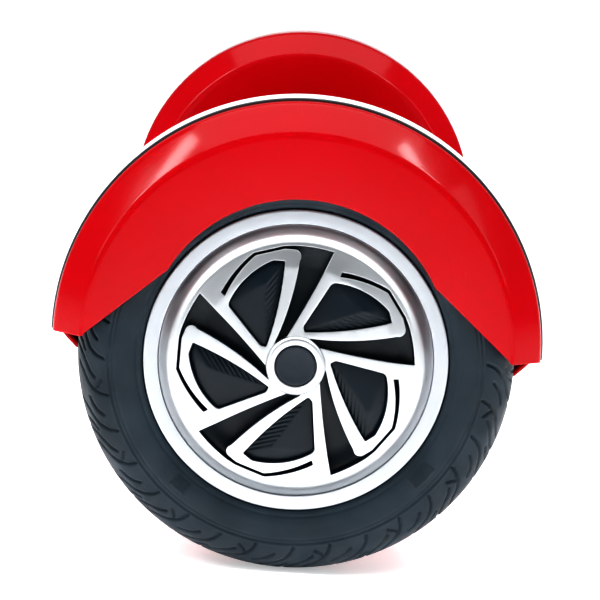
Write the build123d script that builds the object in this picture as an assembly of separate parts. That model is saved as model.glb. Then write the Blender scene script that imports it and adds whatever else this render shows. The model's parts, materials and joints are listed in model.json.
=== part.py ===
from build123d import *
import math
import os

# Self-balancing two-wheel board. Millimetres, +Z up, X along the axle line.
# The origin is on the ground under the middle of the board, the front is -Y.
# The +X half is built first; the -X half mirrors its housings and turns its wheel
# half a turn about Z, because both wheels are the same part.

# Driving dimensions: wheels
TYRE_R = 102.0
AXLE_Z = TYRE_R
TYRE_X = 286.0
TYRE_BULGE = 22.6
RIM_R = 70.5
RIM_SEAT_R = 66.0
RIM_CAN_R = 54.0
RIM_FACE = 21.0
RIM_RECESS_R = 63.6
RIM_LEDGE = 12.0
HUB_FACE = 34.0
HUB_RING_R = 13.5
HUB_CAP_R = 9.6
BLADES = 5
TREAD_LANDS = 60
MAGNETS = 30
TEETH = 27
COVER_SCREWS = 8
COVER_SCREW_R = 58.5

# Driving dimensions: axle and bearings
AXLE_R = 8.0
AXLE_TIP_R = 6.0
AXLE_COLLAR_R = 9.0
AXLE_IN = -81.0
RUNNING = 0.05

# Driving dimensions: fenders
FENDER_Z = 108.0
FENDER_R = 113.2
FENDER_FACE_R = 99.3
WALL = 2.5
FENDER_IN = 250.0
FENDER_IN_BEVEL = 261.0
GASKET_IN = 281.0
GASKET_OUT = 296.0
FENDER_OUT_BEVEL = 302.5
FENDER_OUT = 313.5
CUTOUT_R = 69.5
CUTOUT_KINK = (61.8, 32.7)
STRIP_R = 115.4
STRIP_IN = 282.2
STRIP_OUT = 293.0

# Driving dimensions: body
DECK_Z = 130.0
SPLIT_Z = 108.0
SPLIT_GAP = 0.15
BOTTOM_Z = 40.0
SHOULDER_Z = 114.0
TUCK_Z = 103.5
MIDDLE_GAP = 1.5
WAIST_HALF = 62.0
WAIST_END = 12.0
DECK_HALF = 99.3
DECK_START = 118.0
WAIST_FLOOR = 30.0
DECK_FLOOR = 44.0
ARCH_R = 105.5
LOFT_X = (MIDDLE_GAP, 14, 30, 46, 62, 78, 94, 106, DECK_START, FENDER_IN + WALL)

# Driving dimensions: foot mats
MAT_X = (92.0, 118.0, 240.0)
MAT_INSET = 22.0
MAT_Z = (126.5, 131.5)
MAT_GAP = 0.8
MAT_LEDGE_Z = 124.5
MAT_CORNER = 10.0
MAT_POSTS = ((130, -30), (130, 30), (200, -30), (200, 30))

# Driving dimensions: frame and pivot
FRAME_X = (40.0, 245.0)
FRAME_HALF = 60.0
FRAME_TOP = (114.0, 118.0)
FRAME_LEG_Z = 92.0
BOSS_R = 24.0
BOSS_X = (14.0, 72.0)
SADDLE_X = (208.0, 244.0)
SADDLE_HALF = 24.0
CLAMP_Z = (84.0, 101.5)
BOLT_X = (214.0, 238.0)
BOLT_Y = 17.0
SHAFT_R = 15.0
SHAFT_BORE = 11.0
BUSH_R = 18.5
BUSH_FLANGE_R = 22.0
RIGHT_BOSS_IN = 16.0

# Driving dimensions: small fittings
BUTTON_AT = (-160.0, -22.0)
SOCKET_AT = (-160.0, 20.0)
CAP_HINGE = (32.0, 37.6)
SPEAKER_AT = (52.0, 0.0)
SHELL_SCREW_X = (100.0, 165.0, 232.0)
SHELL_SCREW_Y = 75.0
PILLAR_X = (60.0, 225.0)
PILLAR_Y = 54.0
LAMP_X = (150.0, 215.0)
LAMP_Z = (115.5, 126.0)

parts = {}


def block(x0, x1, y0, y1, z0, z1):
    """Box between two corners."""
    middle = Pos((x0 + x1) / 2, (y0 + y1) / 2, (z0 + z1) / 2)
    return middle * Box(x1 - x0, y1 - y0, z1 - z0)


def rod_x(x0, x1, radius, y=0.0, z=AXLE_Z):
    """Round bar along X."""
    return Pos((x0 + x1) / 2, y, z) * Rot(0, 90, 0) * Cylinder(radius, x1 - x0)


def rod_z(x, y, z0, z1, radius):
    """Round bar along Z."""
    return Pos(x, y, (z0 + z1) / 2) * Cylinder(radius, z1 - z0)


def turned(points, x=TYRE_X, z=AXLE_Z, arc=360):
    """Solid of revolution about an X axis; points are (distance along X, radius)."""
    face = make_face(Polyline([(a, r) for a, r in points], close=True))
    return Pos(x, 0, z) * revolve(face, Axis.X, revolution_arc=arc)


def around(shape, count, z=AXLE_Z):
    """The shape repeated evenly about the X axis at height z."""
    axis = Axis((0, 0, z), (1, 0, 0))
    return [shape.rotate(axis, 360 * i / count) for i in range(count)]


def other_side(shape):
    """Mirror image on the -X half."""
    return mirror(shape, about=Plane.YZ)


def other_wheel(shape):
    """The same part fitted on the -X half, turned half a turn."""
    return shape.rotate(Axis.Z, 180)


# ---------------------------------------------------------------- wheel

def window_outline():
    """Closed outline of one faceted window in the wheel face."""
    lines = [
        Line((15.8, 2.0), (18.2, 3.3)),
        Line((18.2, 3.3), (40.6, -1.3)),
        Line((40.6, -1.3), (41.8, -2.6)),
        ThreePointArc((41.8, -2.6), (43.0, -16.0), (38.6, -30.6)),
        Line((38.6, -30.6), (34.3, -33.7)),
        ThreePointArc((34.3, -33.7), (24.9, -18.4), (15.8, 2.0)),
    ]
    return make_face(lines)


def blade_outline():
    """Closed outline of one deep opening between two spokes, with the slot that runs on from it."""
    lines = [
        ThreePointArc((13.8, -1.2), (20.5, -21.0), (29.2, -38.2)),
        ThreePointArc((29.2, -38.2), (30.9, -40.8), (33.9, -40.7)),
        Line((33.9, -40.7), (37.9, -37.9)),
        Line((37.9, -37.9), (46.2, -27.0)),
        ThreePointArc((46.2, -27.0), (47.0, -16.5), (45.2, -3.8)),
        Line((45.2, -3.8), (47.5, -3.8)),
        ThreePointArc((47.5, -3.8), (48.7, -16.5), (47.6, -27.2)),
        Line((47.6, -27.2), (38.9, -38.6)),
        Line((38.9, -38.6), (35.6, -41.6)),
        ThreePointArc((35.6, -41.6), (28.2, -46.6), (19.6, -50.9)),
        ThreePointArc((19.6, -50.9), (15.1, -29.8), (11.6, -7.0)),
        ThreePointArc((11.6, -7.0), (13.0, -4.2), (13.8, -1.2)),
    ]
    return make_face(lines)


def through_face(outline, x0, x1):
    """Prism of a wheel-face outline, which faces +X, between two distances."""
    plane = Plane(origin=(TYRE_X + x0, 0, AXLE_Z), x_dir=(0, 1, 0), z_dir=(1, 0, 0))
    return extrude(plane * outline, amount=x1 - x0)


def make_tyre():
    """Solid rubber tyre: bead feet inside the rim flanges, and a tread of narrow flat lands."""
    side = [
        (17.4, RIM_SEAT_R), (17.4, RIM_R + 0.1), (20.9, RIM_R + 0.1), (TYRE_BULGE, 78.0),
        (22.5, 87.0), (19.5, 95.5), (12.0, 100.6), (6.0, TYRE_R + 0.3),
    ]
    middle = Plane(origin=(TYRE_X - 30, 0, AXLE_Z), x_dir=(0, 1, 0), z_dir=(1, 0, 0))
    lands = RegularPolygon(TYRE_R, TREAD_LANDS, major_radius=False, rotation=180 / TREAD_LANDS)
    return turned(side + [(-a, r) for a, r in reversed(side)]) & extrude(middle * lands, amount=60)


def make_rim():
    """Cast rim and motor can in one, with two tyre flanges and a recess for the trim."""
    flange = 17.5
    return turned([
        (-20.5, RIM_CAN_R), (-20.5, RIM_R), (-flange, RIM_R), (-flange, RIM_SEAT_R),
        (flange, RIM_SEAT_R), (flange, RIM_R), (RIM_FACE, RIM_R), (RIM_FACE, RIM_RECESS_R),
        (RIM_LEDGE, RIM_RECESS_R), (RIM_LEDGE, RIM_CAN_R),
    ]) - screw_holes(2.0)


def screw_holes(radius):
    """Cover screw shanks, as solids to cut away or to keep."""
    one = rod_x(TYRE_X - 23.0, TYRE_X - 11.0, radius, 0, AXLE_Z + COVER_SCREW_R)
    return around(one, COVER_SCREWS)


def make_cover_screws():
    """Cap screws that hold the inner motor cover."""
    head = rod_x(TYRE_X - 25.5, TYRE_X - 23.0, 3.5, 0, AXLE_Z + COVER_SCREW_R)
    head -= rod_x(TYRE_X - 25.5, TYRE_X - 24.0, 1.5, 0, AXLE_Z + COVER_SCREW_R)
    shank = rod_x(TYRE_X - 23.0, TYRE_X - 11.0, 2.0, 0, AXLE_Z + COVER_SCREW_R)
    return Compound(around(head + shank, COVER_SCREWS))


def make_wheel_face():
    """Turned alloy trim: rounded edge, domed spokes, hub ring, with the openings cut."""
    outer = [
        (RIM_LEDGE, 63.5), (17.4, 63.5), (18.0, 62.4), (22.0, 61.0), (25.6, 58.9),
        (27.6, 56.2), (29.6, 48.0), (30.6, 40.0), (31.8, 25.0),
        (32.4, HUB_RING_R + 0.1), (HUB_FACE - 0.6, HUB_RING_R), (HUB_FACE, 12.9),
        (HUB_FACE, HUB_CAP_R + 0.1),
    ]
    inner = [
        (30.0, HUB_CAP_R + 0.1), (29.2, 25.0), (28.0, 40.0), (27.0, 48.0), (25.6, 53.0),
        (15.4, 57.2), (14.6, 58.2), (RIM_LEDGE, 58.2),
    ]
    face = turned(outer + inner)
    cutters = []
    for outline in (window_outline(), blade_outline()):
        cutters += around(through_face(outline, 14.0, 36.0), BLADES)
    return face - cutters


def make_motor_cover_outer():
    """Black motor cover: bearing boss, flat plate and a raised pad behind each window."""
    plate = turned([
        (RIM_LEDGE, 58.0), (14.4, 58.0), (16.8, 53.0), (16.8, 21.0), (23.2, 21.0),
        (23.2, 16.0), (14.2, 16.0), (14.2, 53.9), (RIM_LEDGE, 53.9),
    ])
    pad = through_face(offset(window_outline(), amount=-0.4), 16.0, 25.2)
    return plate + around(pad, BLADES)


def make_hub_cap():
    """Centre cap that closes the hub ring."""
    return turned([
        (26.0, 7.6), (26.0, HUB_CAP_R), (32.9, HUB_CAP_R), (33.5, HUB_CAP_R - 0.6),
        (33.5, 0.0), (31.4, 0.0), (31.4, 7.6),
    ])


def make_motor_cover_inner():
    """Inboard motor cover with its bearing boss."""
    cover = turned([
        (-23.0, 17.5), (-23.0, 62.0), (-20.5, 62.0), (-20.5, 24.0), (-13.6, 22.0),
        (-13.6, 17.5),
    ])
    return cover - screw_holes(2.0)


def make_magnets():
    """Permanent magnets bonded inside the can."""
    one = turned([(-12, 51.0), (-12, RIM_CAN_R), (11.9, RIM_CAN_R), (11.9, 51.0)], arc=11)
    return Compound(around(one, MAGNETS))


def ball_bearing(x0, x1, bore_r, outer_r, balls):
    """Inner ring, outer ring and balls of one deep-groove bearing."""
    ball_r = (outer_r - bore_r) * 0.26
    pitch = (outer_r + bore_r) / 2
    middle = (x0 + x1) / 2
    lip = (outer_r - bore_r) * 0.34
    rings = [
        turned([(x0, bore_r), (x1, bore_r), (x1, bore_r + lip), (x0, bore_r + lip)]),
        turned([(x0, outer_r - lip), (x1, outer_r - lip), (x1, outer_r), (x0, outer_r)]),
    ]
    groove = Pos(TYRE_X + middle, 0, AXLE_Z) * Rot(0, 90, 0) * Torus(pitch, ball_r + 0.05)
    ball = Pos(TYRE_X + middle, 0, AXLE_Z + pitch) * Sphere(ball_r)
    return [ring - groove for ring in rings] + around(ball, balls)


def make_bearings():
    """The wheel's two ball bearings."""
    outer = ball_bearing(14.2, 23.0, AXLE_TIP_R + RUNNING, 16.0, 8)
    inner = ball_bearing(-22.5, -13.7, AXLE_R + RUNNING, 17.5, 9)
    return Compound(outer + inner)


def make_axle():
    """Fixed steel axle: stepped seats, collar for the stator and a bore for the leads."""
    return turned([
        (23.8, 0), (23.8, AXLE_TIP_R - 0.8), (23.0, AXLE_TIP_R), (13.8, AXLE_TIP_R),
        (13.8, AXLE_COLLAR_R), (-13.2, AXLE_COLLAR_R), (-13.2, AXLE_R), (AXLE_IN, AXLE_R),
        (AXLE_IN, 4.0), (-10.0, 4.0), (-10.0, 0),
    ])


def make_stator():
    """Laminated stator with one shoe on each tooth."""
    yoke_r = 30.0
    core = rod_x(TYRE_X - 12, TYRE_X + 12, yoke_r) - rod_x(TYRE_X - 12, TYRE_X + 12, AXLE_COLLAR_R)
    tooth = block(TYRE_X - 12, TYRE_X + 12, -1.6, 1.6, AXLE_Z + yoke_r - 1, AXLE_Z + 48.5)
    shoe = block(TYRE_X - 12, TYRE_X + 12, -4.2, 4.2, AXLE_Z + 48, AXLE_Z + 49.5)
    return core + around(tooth + shoe, TEETH)


def make_windings():
    """Copper coil on each tooth."""
    coil = block(TYRE_X - 13.4, TYRE_X + 13.4, -2.9, 2.9, AXLE_Z + 33, AXLE_Z + 47)
    coil -= block(TYRE_X - 12, TYRE_X + 12, -1.6, 1.6, AXLE_Z + 32, AXLE_Z + 48)
    return Compound(around(coil, TEETH))


# ---------------------------------------------------------------- fender

def upper_half(shape):
    """What of the shape is above the split line of the fender."""
    return shape & block(200, 340, -150, 150, FENDER_Z, 260)


def make_fender_cover():
    """Outboard fender: rim band, bevel and side wall with the wheel cut-out."""
    ring = turned([
        (GASKET_OUT, FENDER_R), (FENDER_OUT_BEVEL, FENDER_R), (FENDER_OUT, FENDER_FACE_R),
        (FENDER_OUT, 60.0), (FENDER_OUT - WALL, 60.0), (FENDER_OUT - WALL, FENDER_FACE_R - 1.1),
        (FENDER_OUT_BEVEL - 1.1, FENDER_R - WALL), (GASKET_OUT, FENDER_R - WALL),
    ], x=0, z=FENDER_Z)
    ky, kz = CUTOUT_KINK
    lines = [
        ThreePointArc((-ky, kz), (0, CUTOUT_R), (ky, kz)),
        Polyline((ky, kz), (FENDER_FACE_R, 0), (90, -20), (-90, -20), (-FENDER_FACE_R, 0), (-ky, kz)),
    ]
    plane = Plane(origin=(FENDER_OUT - 8, 0, FENDER_Z), x_dir=(0, 1, 0), z_dir=(1, 0, 0))
    opening = extrude(plane * make_face(lines), amount=12)
    return upper_half(ring) - opening


def make_fender_gasket():
    """Flexible black carrier between the fender halves, with a channel for the strip."""
    low = FENDER_R - 3.7
    high = FENDER_R + 1.1
    floor = FENDER_R - 2.2
    return upper_half(turned([
        (GASKET_IN, low), (GASKET_IN, FENDER_R), (STRIP_IN, FENDER_R), (STRIP_IN, floor),
        (STRIP_OUT, floor), (STRIP_OUT, high), (GASKET_OUT, high), (GASKET_OUT, low),
    ], x=0, z=FENDER_Z))


def make_light_strip():
    """Translucent light guide that stands proud of the channel, with its latch lug."""
    floor = FENDER_R - 2.2
    strip = turned([(STRIP_IN, floor), (STRIP_OUT, floor), (STRIP_OUT, STRIP_R), (STRIP_IN, STRIP_R)],
                   x=0, z=FENDER_Z)
    lug = block(STRIP_OUT - 0.5, STRIP_OUT + 2, 2.2, 4.6, FENDER_Z + FENDER_R + 1.2, FENDER_Z + STRIP_R - 0.1)
    return upper_half(strip + lug)


# ---------------------------------------------------------------- body shells

def eased(x, low, high):
    """Smooth change from the waist value to the deck value along the half."""
    t = min(max((x - WAIST_END) / (DECK_START - WAIST_END), 0.0), 1.0)
    return low + (high - low) * t * t * (3 - 2 * t)


def half_width(x):
    """Half the body width at the split line."""
    return eased(x, WAIST_HALF, DECK_HALF)


def half_floor(x):
    """Half the width of the flat bottom."""
    return eased(x, WAIST_FLOOR, DECK_FLOOR)


def section(x, w, b, inset):
    """Cross-section wire of the body at x."""
    side = [
        (w - 18 - 0.5 * inset, DECK_Z - inset), (w - 2 - inset, SHOULDER_Z),
        (w - inset, SPLIT_Z), (w - 2 - inset, TUCK_Z), (b - 0.7 * inset, BOTTOM_Z + inset),
    ]
    ring = side + [(-y, z) for y, z in reversed(side)]
    return Wire.make_polygon([(x, y, z) for y, z in ring], close=True)


def body_loft(inset, x0, x1):
    """Solid body between x0 and x1, smaller all round by inset."""
    stations = [x0] + [x for x in LOFT_X if x0 < x < x1] + [x1]
    wires = [section(x, half_width(x), half_floor(x), inset) for x in stations]
    return Solid.make_loft(wires, ruled=True)


def mat_outline(grow):
    """Face of the foot mat's outline, larger all round by grow."""
    x0, x1, x2 = MAT_X
    w0 = half_width(x0) - MAT_INSET
    w1 = half_width(x2) - MAT_INSET
    corners = [(x0, -w0), (x1, -w1), (x2, -w1), (x2, w1), (x1, w1), (x0, w0)]
    face = fillet(make_face(Polyline(corners, close=True)).vertices(), MAT_CORNER)
    return offset(face, amount=grow) if grow else face


def mat_prism(grow, z0, z1):
    """Prism of the mat's outline."""
    return extrude(Pos(0, 0, z0) * mat_outline(grow), amount=z1 - z0)


def body_skin():
    """Hollow body of one half, with the pivot hole in its end wall."""
    outer = body_loft(0, MIDDLE_GAP, FENDER_IN + WALL)
    inner = body_loft(WALL, MIDDLE_GAP + WALL, FENDER_IN)
    return outer - inner - rod_x(0, 6, BOSS_R + 2)


def lamp_opening(shrink):
    """Opening of the lamp window on the front shoulder."""
    return block(LAMP_X[0] + shrink, LAMP_X[1] - shrink, -110, -70, LAMP_Z[0] + shrink, LAMP_Z[1] - shrink)


def indicator_opening(shrink):
    """Opening of the status window on the deck near the middle."""
    return block(62 + shrink, 80 - shrink, -6 + shrink, 6 - shrink, DECK_Z - 5, DECK_Z + 5)


def make_upper_shell(skin, with_indicator):
    """Deck and inboard fender half in one moulding."""
    deck = skin & block(0, 260, -120, 120, SPLIT_Z + SPLIT_GAP, 150)
    deck += mat_prism(3.3, MAT_LEDGE_Z - WALL, DECK_Z)
    deck -= mat_prism(MAT_GAP, MAT_LEDGE_Z, DECK_Z + 1)
    deck -= mat_prism(-8, MAT_LEDGE_Z - 5, DECK_Z + 1)
    fender = turned([
        (GASKET_IN, FENDER_R), (FENDER_IN_BEVEL, FENDER_R), (FENDER_IN, FENDER_FACE_R),
        (FENDER_IN, 0), (FENDER_IN + WALL, 0), (FENDER_IN + WALL, FENDER_FACE_R - 1.1),
        (FENDER_IN_BEVEL + 1.1, FENDER_R - WALL), (GASKET_IN, FENDER_R - WALL),
    ], x=0, z=FENDER_Z) & block(200, 340, -150, 150, SPLIT_Z + SPLIT_GAP, 260)
    shell = deck + fender
    for x in SHELL_SCREW_X:
        for side in (-1, 1):
            y = side * SHELL_SCREW_Y
            shell += rod_z(x, y, SPLIT_Z + SPLIT_GAP, MAT_LEDGE_Z - WALL, 6)
            shell -= rod_z(x, y, SPLIT_Z - 1, 119, 1.9)
    shell -= rod_x(FENDER_IN - 1, FENDER_IN + WALL + 1, 14)
    shell -= lamp_opening(0)
    if with_indicator:
        shell -= indicator_opening(0)
    return shell


def flare_loft(inset):
    """Lower body where it widens beside the wheel to the fender's edge."""
    wide = FENDER_R - 0.7
    stations = [(FENDER_IN + inset * 0.5, DECK_HALF), (FENDER_IN_BEVEL, wide), (GASKET_IN, wide)]
    wires = [section(x, w, DECK_FLOOR, inset) for x, w in stations]
    return Solid.make_loft(wires, ruled=True)


def make_lower_shell(skin):
    """Belly pan with two lips beside the wheel, screw posts and frame pillars."""
    below = block(0, 330, -120, 120, 0, SPLIT_Z - SPLIT_GAP)
    outer = body_loft(0, MIDDLE_GAP, FENDER_IN + WALL)
    lips = (flare_loft(0) - flare_loft(WALL)) & below
    lips -= rod_x(FENDER_IN_BEVEL, GASKET_IN + 1, ARCH_R)
    lips -= rod_x(FENDER_IN_BEVEL - 6, FENDER_IN_BEVEL + 1, COVER_SCREW_R + 9)
    posts = []
    for side in (-1, 1):
        for x in SHELL_SCREW_X:
            posts.append(rod_z(x, side * SHELL_SCREW_Y, 60, SPLIT_Z - SPLIT_GAP, 6))
        for x in PILLAR_X:
            posts.append(rod_z(x, side * PILLAR_Y, 50, FRAME_LEG_Z, 5))
    first, *others = posts
    shell = (skin & below) + lips + (outer & (first + others))
    for side in (-1, 1):
        for x in SHELL_SCREW_X:
            shell -= rod_z(x, side * SHELL_SCREW_Y, 50, 88, 4)
            shell -= rod_z(x, side * SHELL_SCREW_Y, 80, SPLIT_Z, 2.0)
    return shell - rod_x(FENDER_IN - 1, FENDER_IN + WALL + 1, 14)


def make_shell_screws():
    """Screws that join the belly pan to the deck."""
    screws = []
    for side in (-1, 1):
        for x in SHELL_SCREW_X:
            y = side * SHELL_SCREW_Y
            screw = rod_z(x, y, 85, 88, 3.6) + rod_z(x, y, 87, 118, 1.9)
            screws.append(screw - rod_z(x, y, 84, 86.5, 1.4))
    return Compound(screws)


def make_foot_mat():
    """Ribbed rubber foot mat with four plungers over the rider switches."""
    mat = mat_prism(0, MAT_Z[0], MAT_Z[1] - 1.0)
    rib_half = half_width(MAT_X[2]) - MAT_INSET - 12
    pitch = 9.0
    count = 15
    first = (MAT_X[1] + MAT_X[2]) / 2 - pitch * (count - 1) / 2 - 4
    for i in range(count):
        x = first + i * pitch
        mat += block(x - 2.5, x + 2.5, -rib_half, rib_half, MAT_Z[1] - 1.5, MAT_Z[1])
    for x, y in MAT_POSTS:
        mat += rod_z(x, y, 122.7, MAT_Z[0] + 0.5, 5)
    return mat


# ---------------------------------------------------------------- frame and pivot

def make_frame(boss_in, bore, relief):
    """Cast frame: pivot boss, top plate, two side legs and the axle saddle."""
    x0, x1 = FRAME_X
    frame = block(x0, x1, -FRAME_HALF, FRAME_HALF, *FRAME_TOP)
    for side in (-1, 1):
        low, high = sorted((side * 52, side * 56))
        frame += block(x0, x1, low, high, FRAME_LEG_Z, FRAME_TOP[0])
    frame += rod_x(boss_in, BOSS_X[1], BOSS_R)
    for side in (-1, 1):
        low, high = sorted((side * 20, side * 54))
        frame += block(x0 + 4, x0 + 9, low, high, 96, FRAME_TOP[0])
    frame += block(*SADDLE_X, -SADDLE_HALF, SADDLE_HALF, AXLE_Z, FRAME_TOP[0])
    frame -= rod_x(SADDLE_X[0] - 4, SADDLE_X[1] + 1, AXLE_R)
    frame -= rod_x(boss_in - 1, BOSS_X[1] + 1, bore)
    frame -= rod_x(BOSS_X[1], BOSS_X[1] + relief, BUSH_FLANGE_R + 1)
    for x in BOLT_X:
        for side in (-1, 1):
            frame -= rod_z(x, side * BOLT_Y, AXLE_Z - 1, 112, 3.0)
    for x in (90, 125, 160, 195):
        frame -= rod_z(x, 0, FRAME_TOP[0] - 1, FRAME_TOP[1] + 1, 12)
    return frame


def make_axle_clamp():
    """Lower half of the axle clamp."""
    clamp = block(*SADDLE_X, -SADDLE_HALF, SADDLE_HALF, *CLAMP_Z)
    clamp -= rod_x(SADDLE_X[0] - 1, SADDLE_X[1] + 1, AXLE_R)
    for x in BOLT_X:
        for side in (-1, 1):
            clamp -= rod_z(x, side * BOLT_Y, CLAMP_Z[0] - 1, CLAMP_Z[1] + 1, 3.2)
    return clamp


def make_clamp_bolts():
    """Cap screws of the axle clamp."""
    bolts = []
    for x in BOLT_X:
        for side in (-1, 1):
            y = side * BOLT_Y
            bolt = rod_z(x, y, CLAMP_Z[0] - 6, CLAMP_Z[0], 5) + rod_z(x, y, CLAMP_Z[0] - 1, 112, 3.0)
            bolts.append(bolt - rod_z(x, y, CLAMP_Z[0] - 7, CLAMP_Z[0] - 3, 2.5))
    return Compound(bolts)


def make_pivot_shaft():
    """Hollow shaft pressed in the +X frame, on which the -X half turns."""
    shaft = rod_x(-82, 62, SHAFT_R) + rod_x(-14, BOSS_X[0], 20)
    shaft -= rod_x(-83, 63, SHAFT_BORE)
    groove = rod_x(-78, -76.4, SHAFT_R + 1) - rod_x(-78, -76.4, 13.5)
    return shaft - groove


def make_pivot_bushes():
    """Two flanged bushes in the -X frame."""
    bore = SHAFT_R + RUNNING
    near = rod_x(-16, -14.3, BUSH_FLANGE_R) + rod_x(-40, -15, BUSH_R) - rod_x(-41, -14, bore)
    far = rod_x(-74, -72, BUSH_FLANGE_R) + rod_x(-73, -48, BUSH_R) - rod_x(-75, -47, bore)
    return Compound([near, far])


def make_pivot_retainer():
    """Thrust washer and the clip that holds it."""
    washer = rod_x(-76.2, -74.3, 20) - rod_x(-77, -74, SHAFT_R)
    clip = rod_x(-77.9, -76.5, 18) - rod_x(-78, -76, 13.6)
    clip -= block(-79, -76, -4, 4, AXLE_Z - 25, AXLE_Z)
    return Compound([washer, clip])


# ---------------------------------------------------------------- electronics

def make_battery():
    """Wrapped battery pack with end caps and a lead block."""
    pack = fillet(block(85, 200, -38, 38, 50, 90).edges().filter_by(Axis.X), 6)
    return pack + block(130, 150, -12, 12, 89.5, 94)


def make_main_board():
    """Controller board with capacitors, heat sink, transistors and the power switch."""
    board = block(-190, -75, -34, 34, 62, 63.6)
    items = [rod_x(-110, -88, 8, y, 71.8) for y in (-22, 22)]
    sink = block(-150, -120, -26, 26, 63.6, 66)
    for i in range(7):
        x = -149 + i * 4.5
        sink += block(x, x + 1.5, -26, 26, 65.5, 76)
    items.append(sink)
    items += [block(-186 + 9 * i, -180 + 9 * i, -30, -24, 63.6, 70) for i in range(3)]
    items.append(block(-186, -162, 20, 30, 63.6, 72))
    switch = block(BUTTON_AT[0] - 6, BUTTON_AT[0] + 6, BUTTON_AT[1] - 6, BUTTON_AT[1] + 6, 46.2, 62)
    return Compound([board, switch] + items)


def make_sensor_board():
    """Motion and rider-switch board on the frame's top plate."""
    board = block(120, 210, -36, 36, 119, 120.6)
    feet = [rod_z(x, y, FRAME_TOP[1], 119, 3) for x in (126, 204) for y in (-20, 20)]
    switches = [block(x - 4, x + 4, y - 4, y + 4, 120.6, 121.1) for x, y in MAT_POSTS]
    return Compound([board] + feet + switches)


def make_headlight_board():
    """Lamp board just behind the front lens."""
    board = block(LAMP_X[0] + 4, LAMP_X[1] - 4, -5, 5, -0.8, 0.8)
    leds = [block(x - 2.5, x + 2.5, -2.5, 2.5, 0.8, 2.2) for x in range(160, 210, 9)]
    return Pos(0, -86.3, 116.5) * Rot(45, 0, 0) * Compound([board] + leds)


def make_speaker():
    """Round speaker that faces down behind the grille."""
    x, y = SPEAKER_AT
    basket = rod_z(x, y, BOTTOM_Z + WALL, 46, 18) + rod_z(x, y, 45, 54, 14) + rod_z(x, y, 53, 60, 9)
    cone = rod_z(x, y, BOTTOM_Z + WALL - 1, 45, 15)
    return basket - cone + rod_z(x, y, 43.5, 45.5, 6)


def grille_slots():
    """Slots of the speaker grille."""
    x, y = SPEAKER_AT
    return [block(x - 14 + 6 * i, x - 11 + 6 * i, y - 11, y + 11, BOTTOM_Z - 1, 43) for i in range(5)]


def battery_ribs():
    """Ribs under the battery pack."""
    return [block(x, x + 4, -34, 34, BOTTOM_Z + 1, 50) for x in (98, 182)]


def board_posts():
    """Posts under the controller board."""
    return [rod_z(x, y, BOTTOM_Z + 1, 62, 4) for x in (-184, -81) for y in (-28, 28)]


def make_power_button():
    """Round push button with its retaining flange."""
    x, y = BUTTON_AT
    return rod_z(x, y, BOTTOM_Z - 0.8, 43.5, 7.8) + rod_z(x, y, 43, 45, 10)


def make_charge_socket():
    """Round charging inlet with three contact pins."""
    x, y = SOCKET_AT
    body = rod_z(x, y, BOTTOM_Z + 0.2, 59, 8) + rod_z(x, y, BOTTOM_Z + WALL, 45, 11)
    body -= rod_z(x, y, BOTTOM_Z - 1, 55, 6)
    pins = [rod_z(x + 3 * math.cos(a), y + 3 * math.sin(a), 47.2, 56, 1.0)
            for a in (math.radians(90 + 120 * i) for i in range(3))]
    return body + pins


def make_charge_cap():
    """Rubber flap over the inlet, with its plug ring and hinge knuckle."""
    x, y = SOCKET_AT
    hinge_y, hinge_z = CAP_HINGE
    cap = rod_z(x, y, 38.2, 39.7, 9.5) + rod_z(x, y, 39.5, 40.9, 5.4) - rod_z(x, y, 39.7, 41.5, 4.2)
    cap += block(x - 3, x + 3, 27, hinge_y, 38.2, 39.1)
    cap += rod_x(x - 3, x + 3, 1.5, hinge_y, hinge_z)
    return cap - rod_x(x - 4, x + 4, 0.7 + RUNNING, hinge_y, hinge_z)


def cap_lugs():
    """Hinge lugs and pin under the belly pan."""
    x = SOCKET_AT[0]
    y, z = CAP_HINGE
    lugs = []
    for near, far in ((-5.3, -3.3), (3.3, 5.3)):
        lugs.append(block(x + near, x + far, y - 1.6, y + 1.6, z - 1.5, BOTTOM_Z + 0.5))
    return lugs + [rod_x(x - 4.5, x + 4.5, 0.7, y, z)]


# ---------------------------------------------------------------- assembly

def add_pair(name, shape, other):
    """A part of the +X half and its counterpart."""
    parts[name + "_left"] = shape
    parts[name + "_right"] = other(shape)


def build_wheels():
    makers = {
        "tyre": make_tyre, "wheel_rim": make_rim, "wheel_face": make_wheel_face,
        "motor_cover_outer": make_motor_cover_outer, "motor_cover_inner": make_motor_cover_inner,
        "hub_cap": make_hub_cap, "magnet_ring": make_magnets, "hub_bearings": make_bearings,
        "cover_screws": make_cover_screws, "axle": make_axle, "stator": make_stator,
        "windings": make_windings,
    }
    for name, maker in makers.items():
        add_pair(name, maker(), other_wheel)


def build_housings():
    skin = body_skin()
    parts["upper_shell_left"] = make_upper_shell(skin, True)
    parts["upper_shell_right"] = other_side(make_upper_shell(skin, False))
    lower = make_lower_shell(skin)
    parts["lower_shell_left"] = lower + battery_ribs() - grille_slots()
    right = other_side(lower) + board_posts() + cap_lugs()
    for x, y in (BUTTON_AT, SOCKET_AT):
        right -= rod_z(x, y, BOTTOM_Z - 1, BOTTOM_Z + WALL + 1, 8.1)
    parts["lower_shell_right"] = right
    add_pair("fender_cover", make_fender_cover(), other_side)
    add_pair("fender_gasket", make_fender_gasket(), other_side)
    add_pair("fender_light_strip", make_light_strip(), other_side)
    add_pair("headlight_lens", skin & lamp_opening(0.15), other_side)
    add_pair("headlight_board", make_headlight_board(), other_side)
    add_pair("shell_screws", make_shell_screws(), other_side)
    add_pair("foot_mat", make_foot_mat(), other_side)
    parts["indicator_lens"] = skin & indicator_opening(0.15)


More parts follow.
